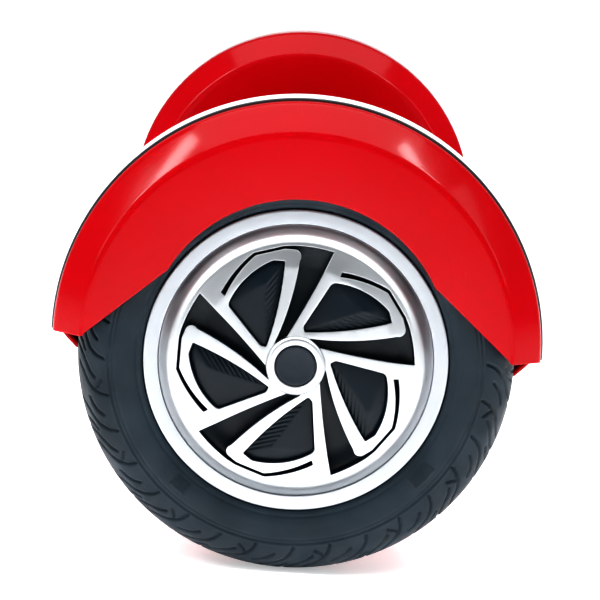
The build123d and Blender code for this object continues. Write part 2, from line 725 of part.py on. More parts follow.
def build_insides():
    parts["frame_left"] = make_frame(BOSS_X[0], SHAFT_R, 1)
    parts["frame_right"] = other_side(make_frame(RIGHT_BOSS_IN, BUSH_R, 13))
    add_pair("axle_clamp", make_axle_clamp(), other_side)
    add_pair("clamp_bolts", make_clamp_bolts(), other_side)
    add_pair("sensor_board", make_sensor_board(), other_side)
    parts["pivot_shaft"] = make_pivot_shaft()
    parts["pivot_bushes"] = make_pivot_bushes()
    parts["pivot_retainer"] = make_pivot_retainer()
    parts["battery_pack"] = make_battery()
    parts["main_board"] = make_main_board()
    parts["speaker"] = make_speaker()
    parts["power_button"] = make_power_button()
    parts["charge_socket"] = make_charge_socket()
    parts["charge_cap"] = make_charge_cap()


os.makedirs("parts", exist_ok=True)
build_wheels()
build_housings()
build_insides()
for node, shape in parts.items():
    export_step(shape, "parts/" + node + ".step")
print(len(parts), "nodes written")
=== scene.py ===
import json
import math

import bpy
import numpy as np
from mathutils import Matrix, Vector
from mathutils.geometry import delaunay_2d_cdt


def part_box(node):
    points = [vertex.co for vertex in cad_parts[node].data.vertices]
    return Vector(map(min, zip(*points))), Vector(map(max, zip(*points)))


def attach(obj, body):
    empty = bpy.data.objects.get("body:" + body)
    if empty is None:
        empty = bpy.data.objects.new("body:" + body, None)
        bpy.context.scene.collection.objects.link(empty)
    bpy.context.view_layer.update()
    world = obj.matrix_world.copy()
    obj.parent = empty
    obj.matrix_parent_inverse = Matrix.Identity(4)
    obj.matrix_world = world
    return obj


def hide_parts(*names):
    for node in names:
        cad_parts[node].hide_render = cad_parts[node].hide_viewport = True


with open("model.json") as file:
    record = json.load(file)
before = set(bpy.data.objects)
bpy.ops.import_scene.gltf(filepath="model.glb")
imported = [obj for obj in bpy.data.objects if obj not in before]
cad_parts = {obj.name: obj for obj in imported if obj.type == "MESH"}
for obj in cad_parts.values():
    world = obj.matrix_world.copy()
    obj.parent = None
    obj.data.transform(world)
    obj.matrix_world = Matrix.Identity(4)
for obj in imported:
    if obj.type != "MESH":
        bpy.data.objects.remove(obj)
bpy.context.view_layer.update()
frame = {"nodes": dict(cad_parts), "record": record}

# Shapes are worked out in millimetres, in the CAD's frame, and written to the meshes in metres.
# Every piece is made for the +X half; the -X half gets the mirror image, or for the wheel the
# same part turned half a turn about Z.
MM = 0.001


def span(node):
    """Lowest and highest corner of a CAD node, in millimetres."""
    low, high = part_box(node)
    return np.array(low) / MM, np.array(high) / MM


tyre_low, tyre_high = span("tyre_left")
cover_low, cover_high = span("fender_cover_left")
gasket_low, gasket_high = span("fender_gasket_left")
strip_low, strip_high = span("fender_light_strip_left")
shell_low = span("upper_shell_left")[0]
belly_low = span("lower_shell_left")[0]
mat_low, mat_high = span("foot_mat_left")
face_high = span("wheel_face_left")[1]

# The fender's bevel and inboard band, the light strip, and how far the foot mat stands proud.
BEVEL_WIDTH, BEVEL_DROP = 11.0, 13.9
BAND_WIDTH = 20.0
STRIP_WIDTH = 10.8
MAT_PROUD = 1.5

TYRE_X = (tyre_low[0] + tyre_high[0]) / 2
AXLE_Z = (tyre_low[2] + tyre_high[2]) / 2
TYRE_R = tyre_high[2] - AXLE_Z
HUB_FACE = face_high[0] - TYRE_X
FENDER_Z = cover_low[2]
FENDER_R = (cover_high[1] - cover_low[1]) / 2
FENDER_OUT = cover_high[0]
FENDER_OUT_BEVEL = FENDER_OUT - BEVEL_WIDTH
FENDER_FACE_R = FENDER_R - BEVEL_DROP
GASKET_IN, GASKET_OUT = gasket_low[0], gasket_high[0]
STRIP_IN, STRIP_OUT = strip_low[0], strip_low[0] + STRIP_WIDTH
STRIP_R = strip_high[1]
FENDER_IN_BEVEL = GASKET_IN - BAND_WIDTH
FENDER_IN = FENDER_IN_BEVEL - BEVEL_WIDTH
BODY_IN = shell_low[0]
BELLY_Z = belly_low[2]
DECK_Z = mat_high[2] - MAT_PROUD
WALL = 2.5  # thickness of the mouldings
MITRE = 1.1  # how far the inside of a wall falls short at a bevel
ARCH = np.linspace(0, 180, 361)  # degrees round the fender

# The rim, then the shells' cross-section at the waist and beside the fender.
RIM_R = 70.5
RIM_FACE = 21.0
RIM_RECESS_R = 63.6
WAIST_HALF, DECK_HALF = 62.0, FENDER_FACE_R
WAIST_FLOOR, DECK_FLOOR = 30.0, 44.0
WAIST_END, DECK_START = 12.0, 118.0
SHOULDER_Z, TUCK_Z = 114.0, 103.5
SHOULDER_INSET, LEDGE = 18.0, 2.0
BLADES = 5


# ------------------------------------------------------------------ mesh tools

class Build:
    """Gathers vertices and faces of one piece, with a material index for each face."""

    def __init__(self):
        self.verts = []
        self.faces = []
        self.slots = []
        self.count = 0

    def add(self, verts, faces, slot=0):
        self.verts.append(np.asarray(verts, float))
        self.faces += [[i + self.count for i in f] for f in faces]
        self.slots += [slot] * len(faces)
        self.count += len(verts)

    def grid(self, rings, looped=True):
        """Quads between rings of points; the last ring joins the first, or both ends are capped."""
        nu, nv = rings.shape[:2]
        i, j = np.meshgrid(np.arange(nu if looped else nu - 1), np.arange(nv), indexing="ij")
        i, j = i.ravel(), j.ravel()
        i2, j2 = (i + 1) % nu, (j + 1) % nv
        quads = np.stack([i * nv + j, i2 * nv + j, i2 * nv + j2, i * nv + j2], 1).tolist()
        if not looped:
            quads.append(list(range(nv)))
            quads.append([(nu - 1) * nv + k for k in reversed(range(nv))])
        self.add(rings.reshape(-1, 3), quads)

    def object(self, name, materials, turn=None):
        """Makes the object; turn is 'mirror' or 'half_turn' for the -X half."""
        verts = np.concatenate(self.verts) * MM
        faces = self.faces
        if turn == "mirror":
            verts = verts * (-1, 1, 1)
            faces = [f[::-1] for f in faces]
        if turn == "half_turn":
            verts = verts * (-1, -1, 1)
        mesh = bpy.data.meshes.new(name)
        mesh.from_pydata(verts.tolist(), [], faces)
        for material in materials:
            mesh.materials.append(material)
        mesh.polygons.foreach_set("material_index", self.slots)
        mesh.polygons.foreach_set("use_smooth", [True] * len(faces))
        mesh.validate()
        mesh.update()
        piece = bpy.data.objects.new(name, mesh)
        bpy.context.scene.collection.objects.link(piece)
        return piece


def along(path, step, closed=False):
    """The path resampled at even steps."""
    path = np.asarray(path, float)
    if closed:
        path = np.vstack([path, path[:1]])
    gaps = np.hypot(*np.diff(path, axis=0).T)
    length = np.concatenate([[0], np.cumsum(gaps)])
    count = max(4, round(length[-1] / step))
    at = np.linspace(0, length[-1], count + 1)
    if closed:
        at = at[:-1]
    return np.stack([np.interp(at, length, path[:, k]) for k in (0, 1)], 1)


def arc_through(a, b, c, count=40):
    """Points of the circular arc from a through b to c."""
    a, b, c = (np.array(p, float) for p in (a, b, c))
    d = 2 * (a[0] * (b[1] - c[1]) + b[0] * (c[1] - a[1]) + c[0] * (a[1] - b[1]))
    sa, sb, sc = (p @ p for p in (a, b, c))
    centre = np.array([sa * (b[1] - c[1]) + sb * (c[1] - a[1]) + sc * (a[1] - b[1]),
                       sa * (c[0] - b[0]) + sb * (a[0] - c[0]) + sc * (b[0] - a[0])]) / d
    angles = np.unwrap([math.atan2(*(p - centre)[::-1]) for p in (a, b, c)])
    if (angles[1] - angles[0]) * (angles[2] - angles[1]) < 0:
        angles[2] += math.copysign(2 * math.pi, angles[1] - angles[0])
    t = np.linspace(angles[0], angles[2], count)
    return centre + np.hypot(*(a - centre)) * np.stack([np.cos(t), np.sin(t)], 1)


def outline(start, *segments):
    """Closed outline: a segment is one end point, or a middle and an end point of an arc."""
    points = [np.array([start], float)]
    for segment in segments:
        here = points[-1][-1]
        if len(segment) == 1:
            points.append(np.array(segment, float))
        else:
            points.append(arc_through(here, *segment)[1:])
    path = np.concatenate(points)
    return path[:-1] if np.allclose(path[0], path[-1]) else path


def soften(loop, width, step):
    """Closed loop with corners rounded over about width."""
    loop = along(loop, step, closed=True)
    n = max(1, round(width / step))
    kernel = np.hanning(2 * n + 3)[1:-1]
    kernel /= kernel.sum()
    wrapped = np.concatenate([loop[-n:], loop, loop[:n]])
    return np.stack([np.convolve(wrapped[:, k], kernel, "valid") for k in (0, 1)], 1)


def turning_left(loop):
    """The loop in anticlockwise order."""
    x, y = loop.T
    area = np.sum(x * np.roll(y, -1) - np.roll(x, -1) * y)
    return loop if area > 0 else loop[::-1]


def outward(loop):
    """Unit normals that point out of an anticlockwise loop."""
    t = np.roll(loop, -1, 0) - np.roll(loop, 1, 0)
    t /= np.hypot(*t.T)[:, None]
    return np.stack([t[:, 1], -t[:, 0]], 1)


def inside(points, loop):
    """Which points are inside the loop."""
    hit = np.zeros(len(points), bool)
    px, py = points.T
    for (x0, y0), (x1, y1) in zip(loop, np.roll(loop, -1, 0)):
        if y0 != y1:
            crosses = (y0 > py) != (y1 > py)
            hit ^= crosses & (px < (x1 - x0) * (py - y0) / (y1 - y0) + x0)
    return hit


def keep_inside(points, loops):
    """The points inside the first loop and outside the others."""
    points = points[inside(points, loops[0])]
    for loop in loops[1:]:
        points = points[~inside(points, loop)]
    return points


def clear_of(points, loops, gap):
    """Which points keep at least gap from every loop point."""
    rim = np.concatenate(loops)
    keep = np.ones(len(points), bool)
    for k in range(0, len(points), 2000):
        d = points[k:k + 2000, None] - rim[None]
        keep[k:k + 2000] = (d ** 2).sum(2).min(1) > gap ** 2
    return keep


def lattice(low, high, spacing):
    """Points of a staggered grid."""
    xs = np.arange(low[0], high[0], spacing)
    ys = np.arange(low[1], high[1], spacing * 0.866)
    x, y = np.meshgrid(xs, ys)
    x[1::2] += spacing / 2
    return np.stack([x.ravel(), y.ravel()], 1)


def band(ring, other, sign):
    """Quads between two rings of vertex numbers; sign is -1 round an outline, 1 round an opening."""
    quads = []
    for i, a in enumerate(ring):
        j = (i + 1) % len(ring)
        b, c, d = ring[j], other[j], other[i]
        quads.append([b, a, d, c] if sign < 0 else [a, b, c, d])
    return quads


def panel(build, loops, points, lift, edge, depth, gap, side=0, rows=5):
    """Closed sheet with rounded edges. loops[0] is its outline and the others are openings;
    lift maps flat points to space, edge is the rounding and depth the thickness. The front is in
    slot 0, and side is the slot of the walls and the back."""
    loops = [turning_left(loop) for loop in loops]
    signs = [-1] + [1] * (len(loops) - 1)
    normals = [outward(loop) * sign for loop, sign in zip(loops, signs)]
    rims = [loop + n * edge for loop, n in zip(loops, normals)]
    points = points[clear_of(points, rims, gap)]
    flat = np.concatenate(rims + [points])
    edges, start = [], 0
    for rim in rims:
        n = len(rim)
        edges += [(start + i, start + (i + 1) % n) for i in range(n)]
        start += n
    out = delaunay_2d_cdt([Vector(p) for p in flat], edges, [], 0, 1e-7)
    spots = np.array([tuple(v) for v in out[0]])
    tris = np.array([f for f in out[2] if len(f) == 3])
    middle = spots[tris].mean(1)
    keep = inside(middle, rims[0])
    for rim in rims[1:]:
        keep &= ~inside(middle, rim)
    tris = tris[keep]
    back_of = {}
    for k, sources in enumerate(out[3]):
        for s in sources:
            back_of[s] = k

    def placed(uv, drop):
        tiny = 0.02
        du = lift(uv + (tiny, 0)) - lift(uv - (tiny, 0))
        dv = lift(uv + (0, tiny)) - lift(uv - (0, tiny))
        normal = np.cross(du, dv)
        normal /= np.linalg.norm(normal, axis=1)[:, None]
        return lift(uv) - normal * drop

    under = spots.copy()
    verts, quads, walls = [placed(spots, 0)], [], []
    count, start, last = len(spots), 0, []
    for loop, n, sign in zip(loops, normals, signs):
        m = len(loop)
        first = [back_of[start + i] for i in range(m)]
        ring = first
        for k in range(1, rows + 1):
            angle = k / rows * math.pi / 2
            verts.append(placed(loop + n * edge * (1 - math.sin(angle)), edge * (1 - math.cos(angle))))
            new = list(range(count, count + m))
            count += m
            (quads if k <= rows // 2 else walls).extend(band(ring, new, sign))
            ring = new
        under[first] = loop
        last.append((ring, first, sign))
        start += m
    verts.append(placed(under, depth))
    for ring, first, sign in last:
        walls += band(ring, [i + count for i in first], sign)
    walls += (tris[:, ::-1] + count).tolist()
    used = build.count
    build.add(np.concatenate(verts), tris.tolist() + quads)
    build.faces += [[i + used for i in f] for f in walls]
    build.slots += [side] * len(walls)


def rounded(corners, radius, step=0.6, closed=True):
    """Profile through the corners with round corners and points close enough to be smooth."""
    corners = [np.array(c, float) for c in corners]
    n = len(corners)
    path = []
    for i, corner in enumerate(corners):
        if not closed and i in (0, n - 1):
            path.append(corner)
            continue
        before, after = corners[i - 1] - corner, corners[(i + 1) % n] - corner
        lb, la = max(np.hypot(*before), 1e-6), max(np.hypot(*after), 1e-6)
        r = radius[i] if isinstance(radius, (list, tuple)) else radius
        cut = min(r, lb * 0.45, la * 0.45)
        p, q = corner + before / lb * cut, corner + after / la * cut
        for t in np.linspace(0, 1, 7):
            path.append((1 - t) ** 2 * p + 2 * t * (1 - t) * corner + t * t * q)
    path = np.array(path)
    ends = np.vstack([path[1:], path[:1]]) if closed else path[1:]
    out = []
    for a, b in zip(path, ends):
        k = max(1, math.ceil(np.hypot(*(b - a)) / (step * 6)))
        out += [a + (b - a) * t / k for t in range(k)]
    return np.array(out if closed else out + [path[-1]])


def smooth_step(t, height=1.0):
    """Rises smoothly from nothing to height as t goes from 0 to 1."""
    t = np.clip(t, 0, 1)
    return height * t * t * (3 - 2 * t)


def spin(build, profile, x, z, angles=None):
    """Turns a closed (distance, radius) profile about an X axis; angles in degrees for a part turn."""
    full = angles is None
    a = np.radians(np.linspace(0, 360, 361)[:-1] if full else angles)
    d, r = profile[:, 0], profile[:, 1]
    points = np.stack([np.broadcast_to(x + d, (len(a), len(d))),
                       np.cos(a)[:, None] * r, z + np.sin(a)[:, None] * r], 2)
    area = np.sum(d * np.roll(r, -1) - np.roll(d, -1) * r)
    if area < 0:
        points = points[:, ::-1]
    build.grid(points, looped=full)


# ------------------------------------------------------------------ materials

class Shader:
    """A principled material with small helpers for its procedural inputs."""

    def __init__(self, name, color, rough, metallic=0.0, **settings):
        self.material = bpy.data.materials.new(name)
        self.material.use_nodes = True
        self.tree = self.material.node_tree
        self.bsdf = self.tree.nodes["Principled BSDF"]
        self.bsdf.inputs["Base Color"].default_value = (*color, 1)
        self.bsdf.inputs["Roughness"].default_value = rough
        self.bsdf.inputs["Metallic"].default_value = metallic
        for key, value in settings.items():
            self.bsdf.inputs[key.replace("_", " ")].default_value = value
        self.where = self.node("ShaderNodeTexCoord").outputs["Object"]
        self.height = None

    def node(self, kind, **values):
        made = self.tree.nodes.new(kind)
        for key, value in values.items():
            setattr(made, key, value)
        return made

    def link(self, a, b):
        self.tree.links.new(a, b)

    def stretched(self, scale):
        """Object coordinates scaled unevenly."""
        mapping = self.node("ShaderNodeMapping")
        mapping.inputs["Scale"].default_value = scale
        self.link(self.where, mapping.inputs["Vector"])
        return mapping.outputs["Vector"]

    def noise(self, scale, detail=3.0, where=None):
        made = self.node("ShaderNodeTexNoise")
        made.inputs["Scale"].default_value = scale
        made.inputs["Detail"].default_value = detail
        self.link(where or self.where, made.inputs["Vector"])
        return made.outputs["Fac"]

    def ramp(self, value, low, high, a=0.35, b=0.65):
        """Value from a to b mapped to low to high."""
        made = self.node("ShaderNodeMapRange")
        made.inputs["From Min"].default_value = a
        made.inputs["From Max"].default_value = b
        made.inputs["To Min"].default_value = low
        made.inputs["To Max"].default_value = high
        self.link(value, made.inputs["Value"])
        return made.outputs["Result"]

    def math(self, kind, a, b):
        made = self.node("ShaderNodeMath", operation=kind)
        for k, value in enumerate((a, b)):
            if isinstance(value, (int, float)):
                made.inputs[k].default_value = value
            else:
                self.link(value, made.inputs[k])
        return made.outputs["Value"]

    def color(self, value, one, other):
        """Base colour between two colours by value."""
        mix = self.node("ShaderNodeMix", data_type="RGBA")
        mix.inputs[6].default_value = (*one, 1)
        mix.inputs[7].default_value = (*other, 1)
        self.link(value, mix.inputs["Factor"])
        self.link(mix.outputs[2], self.bsdf.inputs["Base Color"])
        return self

    def rough(self, value):
        self.link(value, self.bsdf.inputs["Roughness"])
        return self

    def bump(self, value, distance, strength=1.0):
        made = self.node("ShaderNodeBump")
        made.inputs["Distance"].default_value = distance
        made.inputs["Strength"].default_value = strength
        self.link(value, made.inputs["Height"])
        if self.height is not None:
            self.link(self.height, made.inputs["Normal"])
        self.height = made.outputs["Normal"]
        self.link(self.height, self.bsdf.inputs["Normal"])
        return self


def worn(name, color, rough, metallic=0.0, spread=0.08, tint=0.85, grain=900.0, relief=0.00003,
         **settings):
    """General moulded, cast or machined surface: colour, roughness and relief all vary a little."""
    s = Shader(name, color, rough, metallic, **settings)
    s.color(s.ramp(s.noise(14.0, 5.0), 0, 1), [c * tint for c in color], color)
    s.rough(s.ramp(s.noise(60.0, 6.0), rough - spread, rough + spread))
    return s.bump(s.noise(grain, 4.0), relief).material


def red_paint():
    """Gloss red moulding: deep base, thin clear skin, faint orange peel and rub marks."""
    s = Shader("red_paint", (0.34, 0.0, 0.004), 0.22, Coat_Weight=0.2, Coat_Roughness=0.1,
               Specular_IOR_Level=0.05)
    s.color(s.ramp(s.noise(9.0, 4.0), 0, 1), (0.32, 0.0, 0.003), (0.36, 0.0, 0.005))
    rubs = s.noise(260.0, 6.0, s.stretched((1, 6, 0.4)))
    s.rough(s.math("ADD", s.ramp(s.noise(35.0, 5.0), 0.16, 0.26), s.ramp(rubs, 0.0, 0.08, 0.55, 0.8)))
    return s.bump(s.noise(170.0, 2.0), 0.00004).material


def tyre_rubber():
    """Blue-black rubber with mould grain and a dusty mottle."""
    s = Shader("tyre_rubber", (0.012, 0.018, 0.026), 0.6, Specular_IOR_Level=0.3)
    dust = s.noise(38.0, 8.0)
    s.color(s.ramp(dust, 0, 1), (0.005, 0.012, 0.018), (0.009, 0.019, 0.028))
    s.rough(s.ramp(s.noise(90.0, 6.0), 0.48, 0.66))
    s.bump(s.noise(2600.0, 3.0), 0.00005)
    return s.bump(s.noise(420.0, 4.0), 0.00006).material


def turned_alloy(name, tint, rough):
    """Diamond-turned aluminium: fine rings about the axle and a stretched highlight."""
    s = Shader(name, tint, rough, 1.0, Anisotropic=0.5)
    parts = s.node("ShaderNodeSeparateXYZ")
    s.link(s.where, parts.inputs["Vector"])
    high = s.math("SUBTRACT", parts.outputs["Z"], AXLE_Z * MM)
    reach = s.math("SQRT", s.math("ADD", s.math("MULTIPLY", parts.outputs["Y"], parts.outputs["Y"]),
                                  s.math("MULTIPLY", high, high)), 0.0)
    rings = s.node("ShaderNodeTexNoise", noise_dimensions="1D")
    rings.inputs["Scale"].default_value = 3200.0
    rings.inputs["Detail"].default_value = 2.0
    s.link(reach, rings.inputs["W"])
    tangent = s.node("ShaderNodeTangent", direction_type="RADIAL", axis="X")
    s.link(tangent.outputs["Tangent"], s.bsdf.inputs["Tangent"])
    s.color(s.ramp(s.noise(30.0, 5.0), 0, 1), [c * 0.94 for c in tint], tint)
    s.rough(s.math("ADD", s.ramp(rings.outputs["Fac"], rough - 0.03, rough + 0.04),
                   s.ramp(s.noise(50.0, 4.0), -0.02, 0.03)))
    s.bump(rings.outputs["Fac"], 0.000002)
    return s.bump(s.noise(1500.0, 3.0), 0.000008).material


RED = red_paint()
RUBBER = tyre_rubber()
TURNED = turned_alloy("turned_alloy", (0.48, 0.50, 0.52), 0.36)
RIM_ALLOY = turned_alloy("rim_alloy", (0.41, 0.43, 0.455), 0.38)
WHEEL_BLACK = worn("wheel_black", (0.004, 0.009, 0.014), 0.36, spread=0.07, relief=0.00004,
                   Specular_IOR_Level=0.22)
CAP_BLACK = worn("cap_black", (0.009, 0.015, 0.022), 0.42, spread=0.06, relief=0.00003,
                 Specular_IOR_Level=0.3)
GASKET_BLACK = worn("gasket_black", (0.012, 0.012, 0.015), 0.5, relief=0.00005)
LIGHT_GUIDE = worn("light_guide", (0.86, 0.88, 0.90), 0.3, spread=0.05, tint=0.97,
                   Subsurface_Weight=0.2, Subsurface_Scale=0.004)
MAT_RUBBER = worn("mat_rubber", (0.022, 0.022, 0.025), 0.7, grain=1400.0, relief=0.00008)
LENS = worn("lamp_lens", (0.85, 0.9, 0.95), 0.12, spread=0.03, tint=0.95, Transmission_Weight=0.5)

CAD_FINISHES = {
    "cover_alloy": worn("cast_cover", (0.52, 0.53, 0.55), 0.42, 1.0, relief=0.00008),
    "magnet": worn("nickel", (0.66, 0.65, 0.62), 0.28, 1.0),
    "bearing_steel": worn("ground_steel", (0.62, 0.63, 0.65), 0.2, 1.0, spread=0.05),
    "steel": worn("zinc_steel", (0.55, 0.56, 0.58), 0.34, 1.0),
    "lamination": worn("lamination_steel", (0.30, 0.31, 0.33), 0.45, 1.0, relief=0.0001),
    "copper": worn("copper_wire", (0.62, 0.25, 0.09), 0.3, 1.0, grain=2400.0, relief=0.0001),
    "cast_frame": worn("cast_frame", (0.50, 0.51, 0.53), 0.55, 1.0, relief=0.00015),
    "circuit_board": worn("solder_mask", (0.01, 0.12, 0.05), 0.35, grain=500.0),
    "lamp_lens": LENS,
    "status_lens": LENS,
    "bronze": worn("sintered_bronze", (0.45, 0.27, 0.1), 0.42, 1.0),
    "battery": worn("shrink_wrap", (0.02, 0.09, 0.3), 0.28, spread=0.1, grain=120.0, relief=0.0003),
    "speaker": CAP_BLACK,
    "button": worn("satin_button", (0.5, 0.51, 0.53), 0.3, 1.0),
    "socket_black": CAP_BLACK,
    "mat_rubber": MAT_RUBBER,
    "gasket": GASKET_BLACK,
}


# ------------------------------------------------------------------ placing

SIDES = ("left", "right")


def settle(build, name, side, materials, body, node, slot, turn="mirror"):
    """Makes one side's piece, rides it on its body and stands it in for its CAD node."""
    piece = build.object(f"{name}_{side}", materials, turn if side == "right" else None)
    if body == "wheel":
        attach(piece, f"wheel_{side}")
    elif body == "mat":
        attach(piece, f"foot_mat_{side}")
    else:
        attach(piece, f"{side}_half")
    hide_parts(f"{node}_{side}")


def place(build, name, *rest):
    """Both sides of a piece that is the same on each."""
    for side in SIDES:
        settle(build, name, side, *rest)


# ------------------------------------------------------------------ tyre

def segment_distance(p, q, a, b):
    """Distance from each (p, q) to the segment a-b."""
    ab = np.subtract(b, a)
    t = np.clip(((p - a[0]) * ab[0] + (q - a[1]) * ab[1]) / (ab @ ab), 0, 1)
    return np.hypot(p - a[0] - t * ab[0], q - a[1] - t * ab[1])


# A groove is its width and its bends, each (down the shoulder, round the tyre), in millimetres.
GROOVES = [
    [(1.0, [(1.0, 0.0), (4.5, 1.5), (8.0, 4.5), (11.0, 8.5), (14.0, 13.5), (18.5, 18.0), (26.0, 21.0)]),
     (0.9, [(11.5, 3.0), (14.0, 6.5), (18.0, 9.0)])],
    [(1.0, [(5.0, 0.0), (7.5, 2.5), (9.5, 6.0), (10.8, 9.5)])],
    [(1.0, [(0.5, 0.0), (4.0, 1.2), (7.5, 3.8), (10.5, 7.6), (13.0, 12.0), (17.0, 16.0)])],
    [(1.0, [(6.0, 0.0), (8.5, 3.0), (10.5, 6.5), (13.5, 10.5), (18.0, 14.0), (25.0, 15.0)]),
     (0.8, [(3.0, -1.5), (5.0, -4.0), (7.5, -5.5)])],
]
GROOVE_PITCH = 5.625
GROOVE_DEPTH, GROOVE_EDGE = 1.3, 0.9
PATTERN = GROOVE_PITCH * len(GROOVES)
NEAR_SIDE_TURN = 3.0
# Radii of the pattern, of the line that the way down is measured from, and of the section's middle.
SHOULDER_R, SHOULDER_LINE_R, SECTION_R = 95.0, 87.6, 85.0
# Rings round the side: way down, depth (the last one stands proud) and width.
SIDE_RINGS = ((-1.2, 0.55, 0.5), (-3.0, 0.4, 0.45), (-14.2, 0.35, 0.5), (-0.2, -0.35, 0.35))
# Hatched patches: middle and half turn in degrees, then their shared way down and half height.
PATCHES = ((222.0, 4.5), (42.0, 4.5), (132.0, 3.0), (312.0, 3.0))
PATCH_DOWN, PATCH_HALF = -8.6, 3.4


def groove_depth(down, turn):
    """Depth of the tread grooves; down is the way along the profile from the shoulder line."""
    near = np.full(down.shape, 99.0)
    for k, group in enumerate(GROOVES):
        for width, bends in group:
            for shift in (-PATTERN, 0.0, PATTERN):
                q = np.radians(turn - k * GROOVE_PITCH - shift) * SHOULDER_R
                for a, b in zip(bends, bends[1:]):
                    near = np.minimum(near, segment_distance(down, q, a, b) - width / 2)
    return smooth_step(0.5 - near / GROOVE_EDGE, GROOVE_DEPTH)


def make_tyre():
    """Tyre with cut shoulder grooves, line rings, a raised ring and plain hatched patches."""
    side = rounded([(17.0, 66.5), (17.0, RIM_R + 0.2), (20.6, RIM_R + 0.3), (22.3, 76.0), (22.5, 83.0),
                    (21.3, 90.0), (18.2, 96.2), (12.0, 100.3), (6.0, TYRE_R), (0.0, TYRE_R)],
                   [0.3, 0.3, 1.2, 4, 4, 4, 4, 4, 3, 0], closed=False)
    half = along(side, 0.55)
    profile = np.vstack([half, (half * (-1, 1))[::-1][1:]])
    turns = np.linspace(0, 360, 1081)[:-1]
    step = np.hypot(*np.diff(half, axis=0).T)
    length = np.concatenate([[0], np.cumsum(step)])
    down_half = length - np.interp(SHOULDER_LINE_R, half[:, 1], length)
    down = np.concatenate([down_half, down_half[::-1][1:]])
    far_side = np.arange(len(profile)) >= len(half)
    tangent = np.gradient(profile, axis=0)
    normal = np.stack([tangent[:, 1], -tangent[:, 0]], 1)
    normal /= np.hypot(*normal.T)[:, None]
    inward = ((profile - (0, SECTION_R)) * normal).sum(1) < 0
    normal[inward] *= -1
    turn_grid = np.broadcast_to(turns[:, None], (len(turns), len(profile)))
    turn_grid = np.where(far_side, turn_grid, NEAR_SIDE_TURN - turn_grid)
    down_grid = np.broadcast_to(down, turn_grid.shape)
    cut = groove_depth(down_grid, np.mod(turn_grid, PATTERN))
    for ring, depth, width in SIDE_RINGS:
        cut = cut + depth * np.exp(-((down_grid - ring) / width) ** 2)
    rise = np.zeros(turn_grid.shape)
    across = np.abs(down_grid - PATCH_DOWN)
    for middle, half_turn in PATCHES:
        off = np.abs((turn_grid - middle + 180) % 360 - 180)
        window = np.clip((half_turn - off) / 0.3, 0, 1) * np.clip((PATCH_HALF - across) / 0.5, 0, 1)
        hatch = 0.5 + 0.5 * np.sin(np.radians(off) * SHOULDER_R * 4.4 + across * 3.0)
        rise += window * (0.15 + 0.75 * hatch)
    move = rise - cut
    a = np.radians(turns)[:, None]
    x = TYRE_X + profile[:, 0] + normal[:, 0] * move
    r = profile[:, 1] + normal[:, 1] * move
    build = Build()
    build.grid(np.stack([x, r * np.cos(a), AXLE_Z + r * np.sin(a)], 2)[:, ::-1])
    place(build, "tyre_tread", [RUBBER], "wheel", "tyre", "tyre", "half_turn")


# ------------------------------------------------------------------ wheel

WINDOW_TIP, WINDOW_FOOT = (15.8, 2.0), (33.9, -33.2)
WINDOW = soften(outline(WINDOW_TIP, [(18.2, 3.3)], [(40.6, -1.3)], [(41.8, -2.6)],
                        [(43.0, -16.0), (38.6, -30.6)], [(34.3, -33.7)],
                        [(24.9, -18.4), WINDOW_TIP]), 0.9, 0.3)
BLADE_FOOT = (13.9, -1.2)
BLADE = soften(outline(BLADE_FOOT, [(20.5, -21.0), (29.2, -38.2)], [(30.9, -40.8), (33.9, -40.7)],
                       [(37.9, -37.9)], [(46.2, -27.0)], [(47.0, -16.5), (45.2, -3.8)], [(47.5, -3.8)],
                       [(48.7, -16.5), (47.6, -27.2)], [(38.9, -38.6)], [(35.6, -41.6)],
                       [(28.2, -46.6), (19.6, -50.9)], [(15.1, -29.8), (11.6, -7.0)],
                       [(13.0, -4.2), BLADE_FOOT]), 0.35, 0.3)
APEX = np.array([34.6, -20.6])
APEX_DROP, FOOT_DROP = -0.5, -2.6  # height of a faceted block against the spoke plate
RIB_RISE, RIB_STEP = 0.28, 1.75
CREASE_R = 45.6
PLATE_R = 56.4


def turned_by(points, i):
    """Flat wheel points turned to the i-th of the five places."""
    a = 2 * math.pi * i / BLADES
    return points @ np.array([[math.cos(a), math.sin(a)], [-math.sin(a), math.cos(a)]])


def dome(r):
    """Height of the spoke plate at a radius, soft at the crease."""
    blur = np.linspace(-0.7, 0.7, 7)
    knots = (0.0, 13.0, CREASE_R, PLATE_R + 3)
    heights = (33.0, 32.3, 30.3, 26.7)
    return np.mean([np.interp(r + b, knots, heights) for b in blur], 0)


def on_wheel(uv, height):
    """Flat wheel points at a height, in space."""
    return np.stack([TYRE_X + height, uv[:, 0], AXLE_Z + uv[:, 1]], 1)


def on_dome(uv, lift=0.0):
    """Flat wheel points on the spoke plate, or at a lift from it."""
    return on_wheel(uv, dome(np.hypot(*uv.T)) + lift)


def circle(radius, step):
    t = np.linspace(0, 2 * math.pi, round(2 * math.pi * radius / step) + 1)[:-1]
    return radius * np.stack([np.cos(t), np.sin(t)], 1)


